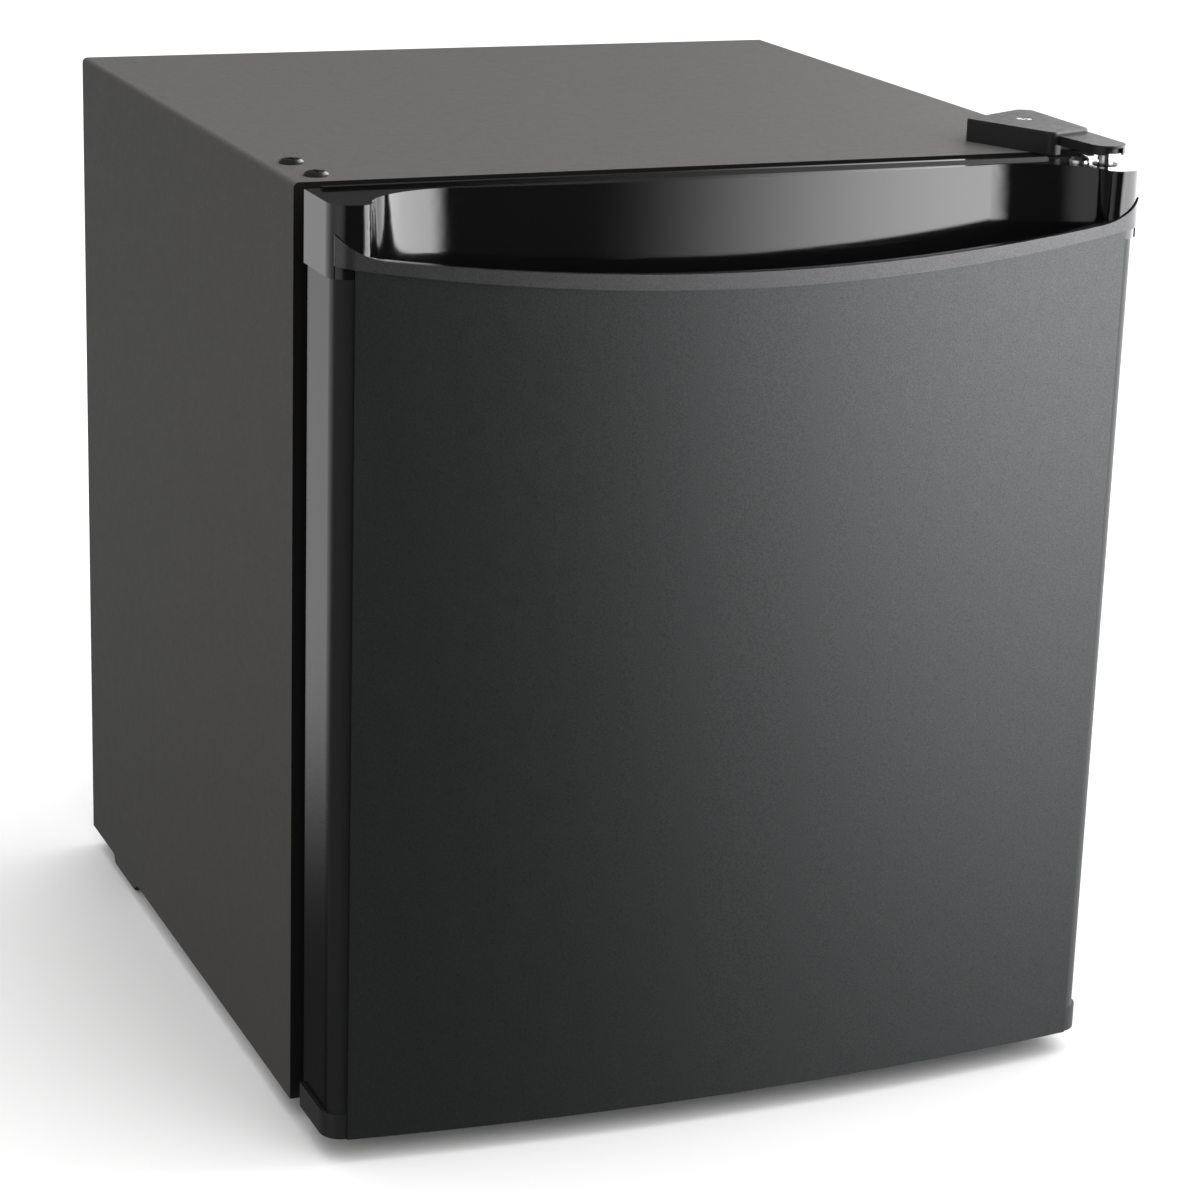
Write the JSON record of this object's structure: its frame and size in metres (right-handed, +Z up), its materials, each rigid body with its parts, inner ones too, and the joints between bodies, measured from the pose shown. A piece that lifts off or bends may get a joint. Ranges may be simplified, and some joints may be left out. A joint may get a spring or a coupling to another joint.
{
  "type": "mini fridge",
  "caption": "Compact freestanding refrigerator with a bowed steel door, recessed top grip, chiller box, wire shelf and door racks.",
  "frame": {"origin": "on the floor, under the middle of the bounding box", "axes": "+Z up, -Y towards the front (the door), +X to the viewer's right when facing the door"},
  "size_m": [0.445, 0.492, 0.511],
  "materials": {
    "graphite_paint": "satin",
    "galvanised": "satin",
    "black_bracket": "satin",
    "bright_pin": "polished",
    "plug_black": "satin",
    "foam": "matte",
    "white_plastic": "satin",
    "white_case": "satin",
    "clear_blue": "gloss",
    "evaporator_metal": "satin",
    "copper": "satin",
    "shelf_wire": "gloss",
    "compressor_black": "gloss",
    "black_plastic": "matte",
    "black_rubber": "matte",
    "magnet": "matte",
    "door_steel": "satin",
    "gloss_black": "gloss",
    "lip_grey": "matte"
  },
  "bodies": {
    "cabinet": {"outer_shell": "graphite_paint", "back_panel": "galvanised", "base_panel": "galvanised", "front_rail": "galvanised", "compressor_base_plate": "galvanised", "foot_nuts": "galvanised", "lower_hinge_bracket": "galvanised", "upper_hinge_bracket": "black_bracket", "upper_hinge_pin": "bright_pin", "lower_hinge_pin": "bright_pin", "hinge_cover_screw": "bright_pin", "back_panel_screws": "bright_pin", "upper_hinge_screws": "bright_pin", "lower_hinge_screws": "bright_pin", "compressor_bolts": "bright_pin", "hinge_hole_plugs": "plug_black", "cabinet_foam": "foam", "inner_liner": "white_plastic", "chiller_frame": "white_plastic", "drip_tray_rails": "white_plastic", "evaporator_hangers": "white_plastic", "thermostat_housing": "white_case", "evaporator_plate": "evaporator_metal", "sensor_tube": "copper", "filter_dryer": "copper", "refrigerant_pipes": "copper", "condenser_tubes": "copper", "compressor": "compressor_black", "compressor_foot_plate": "compressor_black", "compressor_terminal_cover": "black_plastic", "rear_feet": "black_plastic", "hinge_cover": "black_plastic", "compressor_grommets": "black_rubber", "cord_gland": "black_rubber"},
    "chiller_flap": {"chiller_flap": "clear_blue"},
    "drip_tray": {"drip_tray": "clear_blue"},
    "wire_shelf": {"wire_shelf": "shelf_wire"},
    "thermostat_dial": {"thermostat_dial": "white_case"},
    "front_left_foot": {"front_left_foot": "black_plastic"},
    "front_right_foot": {"front_right_foot": "black_plastic"},
    "door": {"door_panel": "door_steel", "side_trim_left": "gloss_black", "side_trim_right": "gloss_black", "door_top_cap": "gloss_black", "handle_lip": "lip_grey", "door_bottom_cap": "black_plastic", "door_foam": "foam", "door_rim_foam": "foam", "door_cap_screw": "bright_pin", "door_liner": "white_plastic", "door_gasket": "black_rubber", "gasket_magnets": "magnet", "lower_rack": "white_case", "upper_rack": "white_case", "upper_hinge_bush": "black_plastic", "lower_hinge_bush": "black_plastic"}
  },
  "joints": [
    {"name": "door_hinge", "type": "hinge", "parent": "cabinet", "child": "door", "pos_m": [0.208, -0.21, 0.25], "axis": [0, 0, 1], "range_deg": [0, 125]},
    {"name": "chiller_flap_hinge", "type": "hinge", "parent": "cabinet", "child": "chiller_flap", "pos_m": [-0.057, -0.048, 0.447], "axis": [-1, 0, 0], "range_deg": [0, 85]},
    {"name": "drip_tray_slide", "type": "slide", "parent": "cabinet", "child": "drip_tray", "axis": [0, -1, 0], "range_m": [0, 0.095]},
    {"name": "wire_shelf_slide", "type": "slide", "parent": "cabinet", "child": "wire_shelf", "axis": [0, -1, 0], "range_m": [0, 0.055]},
    {"name": "thermostat_turn", "type": "hinge", "parent": "cabinet", "child": "thermostat_dial", "pos_m": [0.128, -0.019, 0.442], "axis": [0, -1, 0], "range_deg": [0, 300]},
    {"name": "front_left_foot_screw", "type": "slide", "parent": "cabinet", "child": "front_left_foot", "axis": [0, 0, -1], "range_m": [0, 0.008]},
    {"name": "front_right_foot_screw", "type": "slide", "parent": "cabinet", "child": "front_right_foot", "axis": [0, 0, -1], "range_m": [0, 0.008]}
  ]
}
